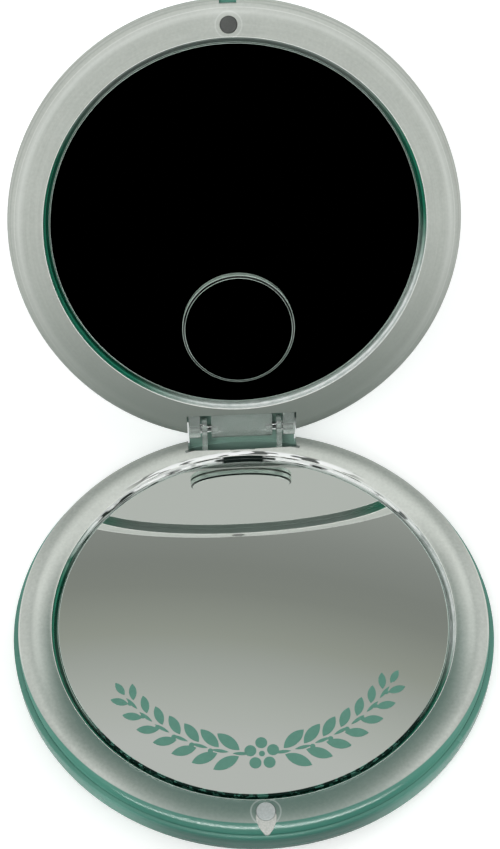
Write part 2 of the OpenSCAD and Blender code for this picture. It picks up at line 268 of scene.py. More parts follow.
def paintedLightRamp(t, away, c, stops):
    wide = node(t, "ShaderNodeMapRange", {}, {
        "Value": away, "From Min": c["inner"] * mm, "From Max": c["outer"] * mm})
    ramp = node(t, "ShaderNodeValToRGB", {}, {0: wide.outputs[0]})
    places = [(at - c["inner"]) / (c["outer"] - c["inner"]) for at, level in stops]
    levels = [level for at, level in stops]
    for at in places[1:-1]:
        ramp.color_ramp.elements.new(at)
    for e, at, level in zip(ramp.color_ramp.elements, places, levels):
        e.position, e.color = at, (level, level, level, 1)
    return ramp.outputs[0]


def pipedLight(t, away, axes, tint, c):
    turn = node(t, "ShaderNodeMath", {"operation": "ARCTAN2"}, {0: axes.outputs[0], 1: axes.outputs[1]})
    turn = node(t, "ShaderNodeMath", {"operation": "MULTIPLY"}, {0: turn.outputs[0], 1: c["streakTurn"]})
    out = node(t, "ShaderNodeMath", {"operation": "DIVIDE"}, {0: away, 1: c["streakHigh"] * mm})
    lay = node(t, "ShaderNodeCombineXYZ", {}, {0: turn.outputs[0], 1: out.outputs[0]})
    bands = node(t, "ShaderNodeTexNoise", {}, {"Vector": lay.outputs[0], "Scale": 1, "Detail": 1})
    sharp = node(t, "ShaderNodeMapRange", {}, {
        "Value": bands.outputs[0], "From Min": c["streakFrom"], "From Max": c["streakTo"]})
    lip = node(t, "ShaderNodeMix", tints, {0: sharp.outputs[0], 6: linear(c["dark"]), 7: linear(c["bright"])})
    inner = node(t, "ShaderNodeMapRange", soft, {
        "Value": away, "From Min": c["outer"] * mm, "From Max": c["inner"] * mm, "To Max": c["share"]})
    behind = node(t, "ShaderNodeMapRange", soft, {
        "Value": axes.outputs[1], "From Min": c["front"] * mm, "From Max": c["back"] * mm})
    both = node(t, "ShaderNodeMath", {"operation": "MULTIPLY"}, {0: inner.outputs[0], 1: behind.outputs[0]})
    return node(t, "ShaderNodeMix", tints, {0: both.outputs[0], 6: tint, 7: lip.outputs[2]}).outputs[2]


def makeBaseFrost(c, crown, shadeAndRim):
    m, t = material("sparkErodedCrownPsPaintedLight")
    place = node(t, "ShaderNodeTexCoord").outputs["Object"]
    axes = node(t, "ShaderNodeSeparateXYZ", {}, {0: place})
    flat = node(t, "ShaderNodeVectorMath", {"operation": "MULTIPLY"}, {0: place, 1: (1, 1, 0)})
    away = node(t, "ShaderNodeVectorMath", {"operation": "LENGTH"}, {0: flat.outputs[0]}).outputs["Value"]
    # painted light and shade of the crown's slopes, at its side, back and front
    behind = node(t, "ShaderNodeMapRange", soft, {
        "Value": axes.outputs[1], "From Min": crown["sideTo"] * mm, "From Max": crown["backFrom"] * mm})
    before = node(t, "ShaderNodeMapRange", soft, {
        "Value": axes.outputs[1], "From Min": crown["sideFrom"] * mm, "From Max": crown["frontTo"] * mm})
    tone = node(t, "ShaderNodeMix", {}, {0: before.outputs[0], 2: paintedLightRamp(t, away, crown, crown["side"]),
                                         3: paintedLightRamp(t, away, crown, crown["front"])})
    tone = node(t, "ShaderNodeMix", {}, {0: behind.outputs[0], 2: tone.outputs[0],
                                         3: paintedLightRamp(t, away, crown, crown["back"])})
    spread = node(t, "ShaderNodeMapRange", {}, {
        "Value": frostMottle(t, place, c), "To Min": -crown["mottle"], "To Max": crown["mottle"]})
    tone = node(t, "ShaderNodeMath", {"operation": "ADD"}, {0: tone.outputs[0], 1: spread.outputs[0]})
    grey = node(t, "ShaderNodeMix", tints, {
        0: tone.outputs[0], 6: linear(crown["dark"]), 7: linear(crown["light"])})
    # painted shade: darker and greener towards the mirror along the front
    near = node(t, "ShaderNodeMapRange", soft, {
        "Value": axes.outputs[1], "From Min": shadeAndRim["back"] * mm, "From Max": shadeAndRim["front"] * mm})
    inner = node(t, "ShaderNodeMapRange", {}, {
        "Value": away, "From Min": shadeAndRim["shadeStart"] * mm, "From Max": shadeAndRim["shadeFull"] * mm})
    both = node(t, "ShaderNodeMath", {"operation": "MULTIPLY"}, {0: near.outputs[0], 1: inner.outputs[0]})
    tint = node(t, "ShaderNodeMix", tints, {0: both.outputs[0], 6: grey.outputs[2], 7: linear(shadeAndRim["tint"])})
    close = node(t, "ShaderNodeMapRange", soft, {
        "Value": axes.outputs[1], "From Min": shadeAndRim["near"] * mm, "From Max": shadeAndRim["close"] * mm,
        "To Max": shadeAndRim["share"]})
    tint = node(t, "ShaderNodeMix", tints, {0: close.outputs[0], 6: tint.outputs[2], 7: linear(shadeAndRim["tint"])})
    # the rim's teal, painted darker towards the middle (painted shade)
    rimTint = node(t, "ShaderNodeMix", tints, {
        0: close.outputs[0], 6: linear(shadeAndRim["rim"]), 7: linear(shadeAndRim["rimDark"])})
    shift = node(t, "ShaderNodeMapping", {"vector_type": "TEXTURE"}, {
        "Vector": flat.outputs[0], "Location": (0, shadeAndRim["rimShift"] * mm, 0),
        "Scale": (shadeAndRim["rimWide"] * mm, shadeAndRim["rimDeep"] * mm, 1)})
    oval = node(t, "ShaderNodeVectorMath", {"operation": "LENGTH"}, {0: shift.outputs[0]}).outputs["Value"]
    rim = node(t, "ShaderNodeMapRange", {}, {
        "Value": oval, "From Min": 1 - shadeAndRim["rimSoft"], "From Max": 1 + shadeAndRim["rimSoft"]})
    tint = node(t, "ShaderNodeMix", tints, {0: rim.outputs[0], 6: tint.outputs[2], 7: rimTint.outputs[2]})
    tint = pipedLight(t, away, axes, tint.outputs[2], pipedLip)
    tint = paintBossHighlight(t, place, Vector((0, -boss["place"], case["half"])) * mm, tint, bossHighlight)
    rough = node(t, "ShaderNodeMapRange", {}, {
        "Value": rim.outputs[0], "To Min": c["rough"], "To Max": shadeAndRim["rimRough"]})
    shader = node(t, "ShaderNodeBsdfPrincipled", {}, {
        "Base Color": tint, "Roughness": rough.outputs[0], "IOR": c["ior"], "Normal": frostBump(t, place, c)})
    node(t, "ShaderNodeOutputMaterial", {}, {"Surface": shader.outputs[0]})
    return m


baseFrost = makeBaseFrost(frostedPart, crownPaintedLight, frontShadeAndRim)

# The same plastic at the hinge: cloudy, so the pins in it show as through thin ice
cloudyPart = dict(light="#edf4f0", dark="#c4d2ca", size=1.8, detail=3,
                  shader={"Roughness": 0.16, "IOR": 1.59, "Transmission Weight": 0.75})
cloudyMat = makeTwoTone("cloudyClearPs", cloudyPart)

# The same plastic along its inner edge: light piped up from the teal makes it a deep green, and it is painted
# pale towards one side (painted light). The top of the lid's edge is painted grey (painted shade).
edgePart = dict(light="#2b8469", dark="#11604a", streakSize=1.5, paleLight="#f7faf9", paleDark="#b2bdb8",
                shade="#7e8a84", shadeLow=55, shadeHigh=68, ior=1.59)
lidEdge = dict(edgePart, paleAlong=(0.4, 0, -0.8), paleFrom=-24, paleFull=-12, rough=0.3, gloss=0.15,
               piped=False)
# At its back the base's edge mirrors the room in bright and dark streaks, and its middle stays dark
baseEdge = dict(edgePart, paleAlong=(1, 0.6, 0), paleFrom=20, paleFull=32, rough=0.1, gloss=0.5,
                piped=True, bright="#f6f9f7", black="#1a2421", back=24, front=8, streakLong=5,
                streakHigh=0.35, streakFrom=0.4, streakTo=0.46, gapHalf=3.6, gapSoft=0.4)


def edgeStreaks(t, place, axes, tint, c):
    lay = node(t, "ShaderNodeMapping", {}, {"Vector": place, "Scale": (
        1 / (c["streakLong"] * mm), 1 / (c["streakLong"] * mm), 1 / (c["streakHigh"] * mm))})
    bands = node(t, "ShaderNodeTexNoise", {}, {"Vector": lay.outputs[0], "Scale": 1, "Detail": 2})
    sharp = node(t, "ShaderNodeMapRange", {}, {
        "Value": bands.outputs[0], "From Min": c["streakFrom"], "From Max": c["streakTo"]})
    wide = node(t, "ShaderNodeMath", {"operation": "ABSOLUTE"}, {0: axes.outputs[0]})
    clear = node(t, "ShaderNodeMapRange", {}, {
        "Value": wide.outputs[0], "From Min": c["gapHalf"] * mm,
        "From Max": (c["gapHalf"] + c["gapSoft"]) * mm})
    lit = node(t, "ShaderNodeMath", {"operation": "MULTIPLY"}, {0: sharp.outputs[0], 1: clear.outputs[0]})
    room = node(t, "ShaderNodeMix", tints, {0: lit.outputs[0], 6: linear(c["black"]), 7: linear(c["bright"])})
    back = node(t, "ShaderNodeMapRange", soft, {
        "Value": axes.outputs[1], "From Min": c["front"] * mm, "From Max": c["back"] * mm})
    return node(t, "ShaderNodeMix", tints, {0: back.outputs[0], 6: tint, 7: room.outputs[2]}).outputs[2]


def makeEdgePart(c):
    m, t = material("greenLitPsEdge")
    place = node(t, "ShaderNodeTexCoord").outputs["Object"]
    axes = node(t, "ShaderNodeSeparateXYZ", {}, {0: place})
    streak = node(t, "ShaderNodeTexNoise", {}, {
        "Vector": place, "Scale": 1 / (c["streakSize"] * mm), "Detail": 3})
    green = node(t, "ShaderNodeMix", tints, {
        0: streak.outputs[0], 6: linear(c["dark"]), 7: linear(c["light"])})
    # painted light: paler towards one side
    paintedLit = node(t, "ShaderNodeMix", tints, {
        0: streak.outputs[0], 6: linear(c["paleDark"]), 7: linear(c["paleLight"])})
    facing = node(t, "ShaderNodeVectorMath", {"operation": "DOT_PRODUCT"}, {0: place, 1: c["paleAlong"]})
    lit = node(t, "ShaderNodeMapRange", soft, {
        "Value": facing.outputs["Value"], "From Min": c["paleFrom"] * mm, "From Max": c["paleFull"] * mm})
    tint = node(t, "ShaderNodeMix", tints, {0: lit.outputs[0], 6: green.outputs[2], 7: paintedLit.outputs[2]})
    # painted shade: grey at the top of the lid's edge
    top = node(t, "ShaderNodeMapRange", soft, {
        "Value": axes.outputs[2], "From Min": c["shadeLow"] * mm, "From Max": c["shadeHigh"] * mm})
    tint = node(t, "ShaderNodeMix", tints, {0: top.outputs[0], 6: tint.outputs[2], 7: linear(c["shade"])})
    tint = edgeStreaks(t, place, axes, tint.outputs[2], c) if c["piped"] else tint.outputs[2]
    shader = node(t, "ShaderNodeBsdfPrincipled", {}, {
        "Base Color": tint, "Roughness": c["rough"], "IOR": c["ior"], "Specular IOR Level": c["gloss"]})
    node(t, "ShaderNodeOutputMaterial", {}, {"Surface": shader.outputs[0]})
    return m


lidEdgeMat, baseEdgeMat = makeEdgePart(lidEdge), makeEdgePart(baseEdge)

# Pearl coated card: mica flakes in a light grey coating, seen through the frame
pearlCard = dict(light="#f2f4f0", dark="#dde2dc", size=0.3,
                 shader={"Roughness": 0.4, "IOR": 1.5, "Metallic": 0.15})
pearlMat = makeTwoTone("pearlCard", pearlCard, cells=True)

# Instant glue, set hard: as glossy as the card's coating, and greyer
setGlue = dict(pearlCard, light="#c9cbc6", dark="#aeb2ac")
glueMat = makeTwoTone("setGlue", setGlue, cells=True)

# Float glass with silver behind: an even mirror with the faintest smears
silver = dict(colour="#f5f7f5", smearSize=14, smearFrom=0.45, smearFull=0.75, clean=0.0, smeared=0.02)


def makeSilver(c):
    m, t = material("silveredGlass")
    place = node(t, "ShaderNodeTexCoord").outputs["Object"]
    smear = node(t, "ShaderNodeTexNoise", {}, {
        "Vector": place, "Scale": 1 / (c["smearSize"] * mm), "Detail": 6})
    rough = node(t, "ShaderNodeMapRange", {}, {
        "Value": smear.outputs[0], "From Min": c["smearFrom"], "From Max": c["smearFull"],
        "To Min": c["clean"], "To Max": c["smeared"]})
    shader = node(t, "ShaderNodeBsdfPrincipled", {}, {
        "Base Color": linear(c["colour"]), "Metallic": 1, "Roughness": rough.outputs[0]})
    node(t, "ShaderNodeOutputMaterial", {}, {"Surface": shader.outputs[0]})
    return m


silverMat = makeSilver(silver)

# The same glass where its edge is ground: light and half dull, dark and flecked with teal along the front
groundGlass = dict(colour="#cfe2d8", darkFleck="#14332c", tealFleck="#5f9f8e", grainSize=0.1, fleckSize=1.1,
                   fleckFrom=0.44, fleckFull=0.5, front=-16, frontFull=-22)


def makeGroundGlass(c):
    m, t = material("groundGlassEdge")
    place = node(t, "ShaderNodeTexCoord").outputs["Object"]
    axes = node(t, "ShaderNodeSeparateXYZ", {}, {0: place})
    flecks = node(t, "ShaderNodeTexNoise", {}, {
        "Vector": place, "Scale": 1 / (c["fleckSize"] * mm), "Detail": 3})
    flecked = node(t, "ShaderNodeMapRange", {}, {
        "Value": flecks.outputs[0], "From Min": c["fleckFrom"], "From Max": c["fleckFull"]})
    dark = node(t, "ShaderNodeMix", tints, {
        0: flecked.outputs[0], 6: linear(c["tealFleck"]), 7: linear(c["darkFleck"])})
    near = node(t, "ShaderNodeMapRange", {}, {
        "Value": axes.outputs[1], "From Min": c["front"] * mm, "From Max": c["frontFull"] * mm})
    tint = node(t, "ShaderNodeMix", tints, {0: near.outputs[0], 6: linear(c["colour"]), 7: dark.outputs[2]})
    grit = node(t, "ShaderNodeTexNoise", {}, {
        "Vector": place, "Scale": 1 / (c["grainSize"] * mm), "Detail": 2})
    bump = node(t, "ShaderNodeBump", {}, {"Height": grit.outputs[0], "Strength": 0.2, "Distance": 0.01 * mm})
    shader = node(t, "ShaderNodeBsdfPrincipled", {}, {
        "Base Color": tint.outputs[2], "Roughness": 0.22, "IOR": 1.52, "Metallic": 0.35,
        "Normal": bump.outputs[0]})
    node(t, "ShaderNodeOutputMaterial", {}, {"Surface": shader.outputs[0]})
    return m


edgeMat = makeGroundGlass(groundGlass)

# Polished bevel of the glass: dark and glossy, as it mirrors the unlit side of the room
darkBevel = dict(light="#1c2220", dark="#0e1211", size=2, detail=3, shader={"Roughness": 0.06, "IOR": 1.52})
bevelMat = makeTwoTone("polishedGlassBevel", darkBevel)

# Nickel plate on a sintered magnet: dull grey with fine scuffs
nickel = dict(light="#c6cccb", dark="#a0a9a8", size=0.3, detail=4,
              shader={"Metallic": 0.35, "Roughness": 0.38})
nickelMat = makeTwoTone("nickelPlate", nickel)

# The lid's magnet: matt dark grey, slightly speckled, painted dark for the dark room it faces (painted
# reflection)
darkMagnet = dict(light="#5a5d5a", dark="#454845", size=0.3, detail=4, shader={"Roughness": 0.5, "IOR": 1.8})
darkMagnetMat = makeTwoTone("lidMagnetPaintedDark", darkMagnet)

# Drawn steel wire, cut to length: bright, with fine lines along it
pinSteel = dict(colour="#c3c7c6", lineSize=0.08, lineStretch=0.03, glossy=0.16, dull=0.34)


def makePinSteel(c):
    m, t = material("drawnSteel")
    place = node(t, "ShaderNodeTexCoord").outputs["Object"]
    stretch = node(t, "ShaderNodeMapping", {}, {"Vector": place, "Scale": (c["lineStretch"], 1, 1)})
    lines = node(t, "ShaderNodeTexNoise", {}, {
        "Vector": stretch.outputs[0], "Scale": 1 / (c["lineSize"] * mm)})
    rough = node(t, "ShaderNodeMapRange", {}, {
        "Value": lines.outputs[0], "To Min": c["glossy"], "To Max": c["dull"]})
    shader = node(t, "ShaderNodeBsdfPrincipled", {}, {
        "Base Color": linear(c["colour"]), "Metallic": 1, "Roughness": rough.outputs[0]})
    node(t, "ShaderNodeOutputMaterial", {}, {"Surface": shader.outputs[0]})
    return m


steelMat = makePinSteel(pinSteel)

# Screen printed ink: satin teal with slightly uneven cover
ink = dict(light="#578d7c", dark="#4b8070", size=0.7, detail=5, shader={"Roughness": 0.45, "IOR": 1.5})
inkMat = makeTwoTone("screenInk", ink)

# White acrylic foam tape: dull, with small pores
foam = dict(light="#f1f1ea", dark="#dcdcd4", size=0.2, shader={"Roughness": 0.85, "IOR": 1.45})
foamMat = makeTwoTone("acrylicFoam", foam, cells=True)
print("materials made")


def raw(name, bm):  # a closed mesh as an object, in metres
    bmesh.ops.remove_doubles(bm, verts=bm.verts, dist=sameSpot)
    bmesh.ops.recalc_face_normals(bm, faces=bm.faces)
    me = bpy.data.meshes.new(name)
    bm.to_mesh(me)
    bm.free()
    ob = bpy.data.objects.new(name, me)
    scene.collection.objects.link(ob)
    return ob


arcs = dict(perMm=8, fewest=3, most=14)  # segments of a rounded corner


def outline(bm, corners):  # a face from corners (x, y, rounding) in mm, drawn in x and z
    vs = [bm.verts.new((c[0] * mm, 0, c[1] * mm)) for c in corners]
    bm.faces.new(vs)
    for v, c in zip(vs, corners):
        if len(c) > 2:
            segments = max(arcs["fewest"], min(arcs["most"], int(c[2] * arcs["perMm"])))
            bmesh.ops.bevel(bm, geom=[v], offset=c[2] * mm, segments=segments,
                            profile=0.5, affect="VERTICES", material=-1)


def lathe(name, corners, steps=case["steps"]):  # corners (radius, height, rounding), turned about z
    bm = bmesh.new()
    outline(bm, corners)
    bmesh.ops.delete(bm, geom=bm.faces[:], context="FACES_ONLY")
    onAxis = [e for e in bm.edges if all(v.co.x < nearZero for v in e.verts)]
    bmesh.ops.delete(bm, geom=onAxis, context="EDGES")
    bmesh.ops.spin(bm, geom=bm.verts[:] + bm.edges[:], cent=(0, 0, 0), axis=(0, 0, 1),
                   angle=2 * pi, steps=steps, use_merge=True)
    return raw(name, bm)


def bar(name, corners, ends, edge=0.1):  # corners (y, z, rounding), pushed out along x between its ends
    low, high = sorted(ends)
    bm = bmesh.new()
    outline(bm, corners)
    bmesh.ops.transform(bm, matrix=Matrix.Rotation(pi / 2, 4, "Z"), verts=bm.verts)
    grown = bmesh.ops.extrude_face_region(bm, geom=bm.faces[:])
    moved = [v for v in grown["geom"] if isinstance(v, bmesh.types.BMVert)]
    bmesh.ops.translate(bm, vec=((high - low) * mm, 0, 0), verts=moved)
    bmesh.ops.translate(bm, vec=(low * mm, 0, 0), verts=bm.verts)
    around = [e for e in bm.edges if abs(e.verts[0].co.x - e.verts[1].co.x) < nearZero]
    bmesh.ops.bevel(bm, geom=around, offset=edge * mm, segments=2, profile=0.5, affect="EDGES", material=-1)
    return raw(name, bm)


def box(low, high):  # a plain block, for cutting
    bm = bmesh.new()
    bmesh.ops.create_cube(bm, size=1)
    for v in bm.verts:
        v.co = Vector([(l + (c + 0.5) * (h - l)) * mm for l, h, c in zip(low, high, v.co)])
    return raw("block", bm)


def rod(radius, length, matrix, steps=48):  # a plain cylinder, for cutting
    bm = bmesh.new()
    bmesh.ops.create_cone(bm, cap_ends=True, segments=steps, radius1=radius * mm, radius2=radius * mm,
                          depth=length * mm, matrix=matrix)
    return raw("rod", bm)


def combine(ob, tool, how="DIFFERENCE"):  # cuts or joins, then removes the tool
    mod = ob.modifiers.new(how, "BOOLEAN")
    mod.object, mod.operation, mod.solver = tool, how, "EXACT"
    bpy.context.view_layer.update()
    done = bpy.data.meshes.new_from_object(ob.evaluated_get(bpy.context.evaluated_depsgraph_get()))
    ob.modifiers.clear()
    old, ob.data = ob.data, done
    bpy.data.meshes.remove(old)
    bpy.data.meshes.remove(tool.data)


def finishPiece(ob, body, mats, stands=(), matrix=None, smooth=32):  # its place, shading and body
    if matrix:
        ob.data.transform(matrix)
    for p in ob.data.polygons:
        p.use_smooth = True
    ob.data.set_sharp_from_angle(angle=radians(smooth))
    ob.data.materials.clear()
    for m in mats:
        ob.data.materials.append(m)
    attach(ob, body)
    if stands:
        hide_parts(*stands)


def keepSlots(ob, body, mats, stands, matrix=None, smooth=32):  # as above, with each face's own material
    kept = [p.material_index for p in ob.data.polygons]
    finishPiece(ob, body, mats, stands, matrix, smooth)
    ob.data.polygons.foreach_set("material_index", kept)
    ob.data.update()


# Covers: turned sections whose walls carry the frames; a low wall stands behind the hinge
cover = dict(floor=1.6, floorRound=0.4, wall=1.6, edge=3.9, top=4.06, topRound=0.16, inset=0.02, root=3,
             backWall=0.8, backTop=6.1, backRound=0.2, backInnerRound=0.15, backHalfWidth=9.95,
             lipIn=40.12, lipTop=5.75, lipRound=1.3, lipBack=4.05, lipFrom=6, lipOverlap=0.1)
outside = case["radius"] - cover["inset"]  # what is joined to the wall stays this much inside it
past = dict(side=60, far=100, high=20)  # cutting blocks reach this far, clear of the case


def coverShell(name, c):
    r = case["radius"]
    return lathe(name, [(0, 0), (r, 0, c["edge"]), (r, c["top"], c["topRound"]), (r - c["wall"], c["top"]),
                        (r - c["wall"], c["floor"], c["floorRound"]), (0, c["floor"])])


def backWall(c):
    inner = outside - c["backWall"]
    ob = lathe("backWall", [(inner, c["root"]), (outside, c["root"]), (outside, c["backTop"], c["backRound"]),
                            (inner, c["backTop"], c["backInnerRound"])])
    span = box((-c["backHalfWidth"], 0, 0), (c["backHalfWidth"], past["side"], past["high"]))
    combine(ob, span, "INTERSECT")
    return ob


def frontLip(c):  # rises from the sides to the front, where it closes the gap to the frame
    ob = lathe("frontLip", [(c["lipIn"], c["root"]), (outside, c["root"]),
                            (outside, c["lipTop"], c["lipRound"]), (c["lipIn"], c["lipTop"])])
    above = box((-past["side"], -past["far"], 0), (past["side"], 0, past["high"]))
    tilt = Matrix.Rotation(-(c["lipTop"] - c["lipBack"]) / (case["radius"] + c["lipFrom"]), 4, "X")
    above.data.transform(Matrix.Translation((0, c["lipFrom"] * mm, c["lipBack"] * mm)) @ tilt)
    combine(ob, above)
    combine(ob, box((-past["side"], c["lipFrom"] - c["lipOverlap"], 0),
                    (past["side"], past["side"], past["high"])))
    return ob


# Notch in the case behind the mirrors, where the hinge stands
notch = dict(halfWidth=10.2, front=35.6, wall=1, lidSink=0.2, margin=0.05, outerTilt=0.3)


def notchSlots(ob, floor):  # slot 1 is what shows in the hinge's notch, behind clear plastic
    for p in ob.data.polygons:
        x, y, z = p.center / mm
        within = abs(x) < notch["halfWidth"] and y > notch["front"] - 2 * notch["margin"]
        above = z > floor - notch["margin"]
        # slot 1 takes the teal painted lighter: painted light in the notch
        p.material_index = 1 if within and above and p.normal.y < notch["outerTilt"] else 0


baseShell = coverShell("baseShell", cover)
combine(baseShell, backWall(cover), "UNION")
combine(baseShell, frontLip(cover), "UNION")
notchSlots(baseShell, cover["floor"])
keepSlots(baseShell, "base", [tealMat, notchTealPaintedLight], ["base_cover"])

lidShell = coverShell("lidShell", cover)
combine(lidShell, box((-notch["halfWidth"], notch["front"], cover["floor"] - notch["lidSink"]),
                      (notch["halfWidth"], 2 * case["radius"], case["half"])))
notchSlots(lidShell, cover["floor"] - notch["lidSink"])
slit = dict(width=3, depth=0.9)  # in the front edge of the lid's frame, where the teal wall shows
cardOn = dict(up=0.9, below=0.1, gapHalf=2)  # the card lies on faces that look up near the wall's top
for p in lidShell.data.polygons:  # slot 2 is what the card covers, all but the slit
    x, y, z = p.center / mm
    atSlit = abs(x) < cardOn["gapHalf"] and y < 0
    if p.normal.z > cardOn["up"] and z > cover["top"] - cardOn["below"] and not atSlit:
        p.material_index = 2
keepSlots(lidShell, "lid", [tealMat, notchTealPaintedLight, pearlMat], ["lid_cover"], openLid)
print("covers turned")

# Sloping rest under which a thumb opens the case
thumb = dict(inset=2.4, slope=24)


def thumbTool(c):
    ob = box((-case["radius"], -case["radius"], 0), (case["radius"], 0, case["half"]))
    at = Vector((0, -(case["radius"] - c["inset"]), case["half"])) * mm
    ob.data.transform(Matrix.Translation(at) @ Matrix.Rotation(radians(c["slope"]), 4, "X"))
    return ob


# Frames: turned ring and tray, hollow under the face, with magnet boss and hinge
ring = dict(inner=34.4, trayTop=3.5, trayBottom=2.5, foot=2.05, footWide=1, footRound=0.15, trayOut=35.4,
            face=5.3, skirtIn=38.32, skirtOut=39.32, shoulder=4.1, shoulderRound=0.09, innerRound=0.16,
            hollowLow=1, hollowRound=0.25)
step = dict(radius=34.05, top=5.3, line=0.14, round=0.05)  # a fine step along the inner edge
lidFlange = dict(radius=41, edge=2.3)
baseFlange = dict(radius=40.1, crest=37.3, innerDrop=0.55, outerReach=2.5, outerDrop=0.55, side=0.25,
                  innerRound=0.12, sideRound=0.25, points=5, gap=0.04)  # gap: to the lid's face when shut


def lidEdgeCorners(c, f):
    h = case["half"]
    return [(c["inner"], h, c["innerRound"]), (f["radius"], h, f["edge"])]


def baseEdgeCorners(c, f):  # a low crown, in two curves that meet at its crest
    h, n = case["half"] - f["gap"], f["points"]
    inward = f["crest"] - c["inner"]
    corners = [(c["inner"], h - f["innerDrop"], f["innerRound"])]
    corners += [(f["crest"] - inward * k / n, h - f["innerDrop"] * (k / n) ** 2)
                for k in range(n - 1, -1, -1)]
    corners += [(f["crest"] + f["outerReach"] * k / n, h - f["outerDrop"] * (k / n) ** 2)
                for k in range(1, n + 1)]
    return corners + [(f["radius"], h - f["outerDrop"] - f["side"], f["sideRound"])]


def ringCorners(c, edge):
    tray, foot = c["trayBottom"], c["trayOut"] - c["footWide"]
    return [(0, c["trayTop"]), (step["radius"], c["trayTop"]), (step["radius"], step["top"], step["round"]),
            (c["inner"], step["top"]), *edge, (edge[-1][0], c["shoulder"], c["shoulderRound"]),
            (c["skirtOut"], c["shoulder"]), (c["skirtOut"], c["foot"], c["footRound"]), (foot, c["foot"]),
            (foot, tray), (0, tray)]


# Drop of set glue that runs from the base's magnet to the rim
drop = dict(width=1.6, start=37.5, tip=40.2, taper=0.35, high=6.44, tipDrop=0.5, thick=0.5, steps=32,
            softFrom=0.475, softness=0.08, room=0.4)


def dropShape(name, d, lift):  # with a lift it is the tool that makes room for the drop in the crown
    bm = bmesh.new()
    bmesh.ops.create_circle(bm, cap_ends=True, segments=d["steps"], radius=d["width"] * mm)
    reach = d["tip"] - d["start"]
    for v in bm.verts:  # drawn out to a point at the front
        if v.co.y < 0:
            v.co.x *= 1 - (v.co.y / (d["width"] * mm)) ** 2 * d["taper"]
            v.co.y *= reach / d["width"]
    grown = bmesh.ops.extrude_face_region(bm, geom=bm.faces[:])
    moved = [v for v in grown["geom"] if isinstance(v, bmesh.types.BMVert)]
    bmesh.ops.translate(bm, vec=(0, 0, -(d["thick"] + lift) * mm), verts=moved)
    for v in bm.verts:  # follows the crown down to the rim
        v.co.z -= d["tipDrop"] * mm * min(0, v.co.y / (reach * mm)) ** 2
    bmesh.ops.translate(bm, vec=(0, -d["start"] * mm, (d["high"] + lift) * mm), verts=bm.verts)
    if not lift:
        rim = [e for e in bm.edges if all(v.co.z > (d["high"] - d["softFrom"]) * mm for v in e.verts)]
        bmesh.ops.bevel(bm, geom=rim, offset=d["softness"] * mm, segments=2, profile=0.5, affect="EDGES",
                        material=-1)
    return raw(name, bm)


def frameRing(name, edge):
    c, b, n = ring, boss, notch
    ob = lathe(name, ringCorners(c, edge))
    hollow = lathe("hollow", [(c["trayOut"], c["hollowLow"]), (c["trayOut"], c["face"], c["hollowRound"]),
                              (c["skirtIn"], c["face"], c["hollowRound"]), (c["skirtIn"], c["hollowLow"])])
    combine(hollow, box((-n["halfWidth"] - n["wall"], 0, 0),
                        (n["halfWidth"] + n["wall"], 2 * case["radius"], case["half"])))
    combine(hollow, rod(b["outer"], 2 * case["half"],
                        Matrix.Translation((0, -b["place"] * mm, (b["bottom"] + case["half"]) * mm))))
    combine(ob, hollow)
    combine(ob, rod(b["hole"], 4 * case["half"], Matrix.Translation((0, -b["place"] * mm, 0))))
    combine(ob, box((-n["halfWidth"], n["front"], 0),
                    (n["halfWidth"], 2 * case["radius"], 2 * case["half"])))
    combine(ob, thumbTool(thumb))
    return ob


baseRing = frameRing("baseRing", baseEdgeCorners(ring, baseFlange))
combine(baseRing, dropShape("room", drop, drop["room"]))
lidRing = frameRing("lidRing", lidEdgeCorners(ring, lidFlange))
combine(lidRing, box((-slit["width"] / 2, -2 * case["radius"], 0),
                     (slit["width"] / 2, slit["depth"] - case["radius"], 2 * case["half"])))

# Hinge: two ears on the base's frame, a middle and two outer knuckles on the lid's
knuckle = dict(radius=1.9, fullRound=0.999, overlap=0.2, earLow=3, earRoot=5.5, earChamfer=0.25, earIn=6.5,
               earOut=7.5, barrel=5.7, lugIn=7.75, lugOut=9.95, pin=0.6, pinGap=0.05, pinPlay=0.02,
               pinEdge=0.12, pinSteps=48, pinIn=4.4, pinOut=9.55)
hingeY, hingeZ = hinge.y / mm, hinge.z / mm
lidHingeZ = 2 * case["half"] - hingeZ
root = notch["front"] - notch["wall"] + knuckle["overlap"]  # where a knuckle starts inside the hinge block


def earCorners(k):
    r = k["radius"]
    d, full = r / 2 ** 0.5, r * k["fullRound"]
    return [(root, k["earLow"]), (root, k["earRoot"]),
            (notch["front"] + k["earChamfer"], case["half"] - k["earChamfer"]),
            (hingeY - d, hingeZ + d), (hingeY, hingeZ + 2 * d, full),
            (hingeY + 2 * d, hingeZ, full), (hingeY + d, hingeZ - d)]


def knuckleCorners(k):
    r, full = k["radius"], k["radius"] * k["fullRound"]
    return [(root, lidHingeZ + r), (hingeY + r, lidHingeZ + r, full),
            (hingeY + r, lidHingeZ - r, full), (root, lidHingeZ - r)]


def alongX(z, low, high):  # where a rod lies along x at the hinge
    return (Matrix.Translation(Vector(((low + high) / 2, hingeY, z)) * mm)
            @ Matrix.Rotation(pi / 2, 4, "Y"))


def makeHinge(k):
    for s in (-1, 1):
        combine(baseRing, bar("ear", earCorners(k), (s * k["earIn"], s * k["earOut"])), "UNION")
        combine(lidRing, bar("lug", knuckleCorners(k), (s * k["lugIn"], s * k["lugOut"])), "UNION")
    combine(lidRing, bar("barrel", knuckleCorners(k), (-k["barrel"], k["barrel"])), "UNION")
    for s in (-1, 1):
        low, high = s * k["pinIn"], s * k["pinOut"]
        length = abs(high - low)
        combine(baseRing, rod(k["pin"] + k["pinGap"], length, alongX(hingeZ, low, high)))
        combine(lidRing, rod(k["pin"] + k["pinPlay"], length, alongX(lidHingeZ, low, high)))


makeHinge(knuckle)
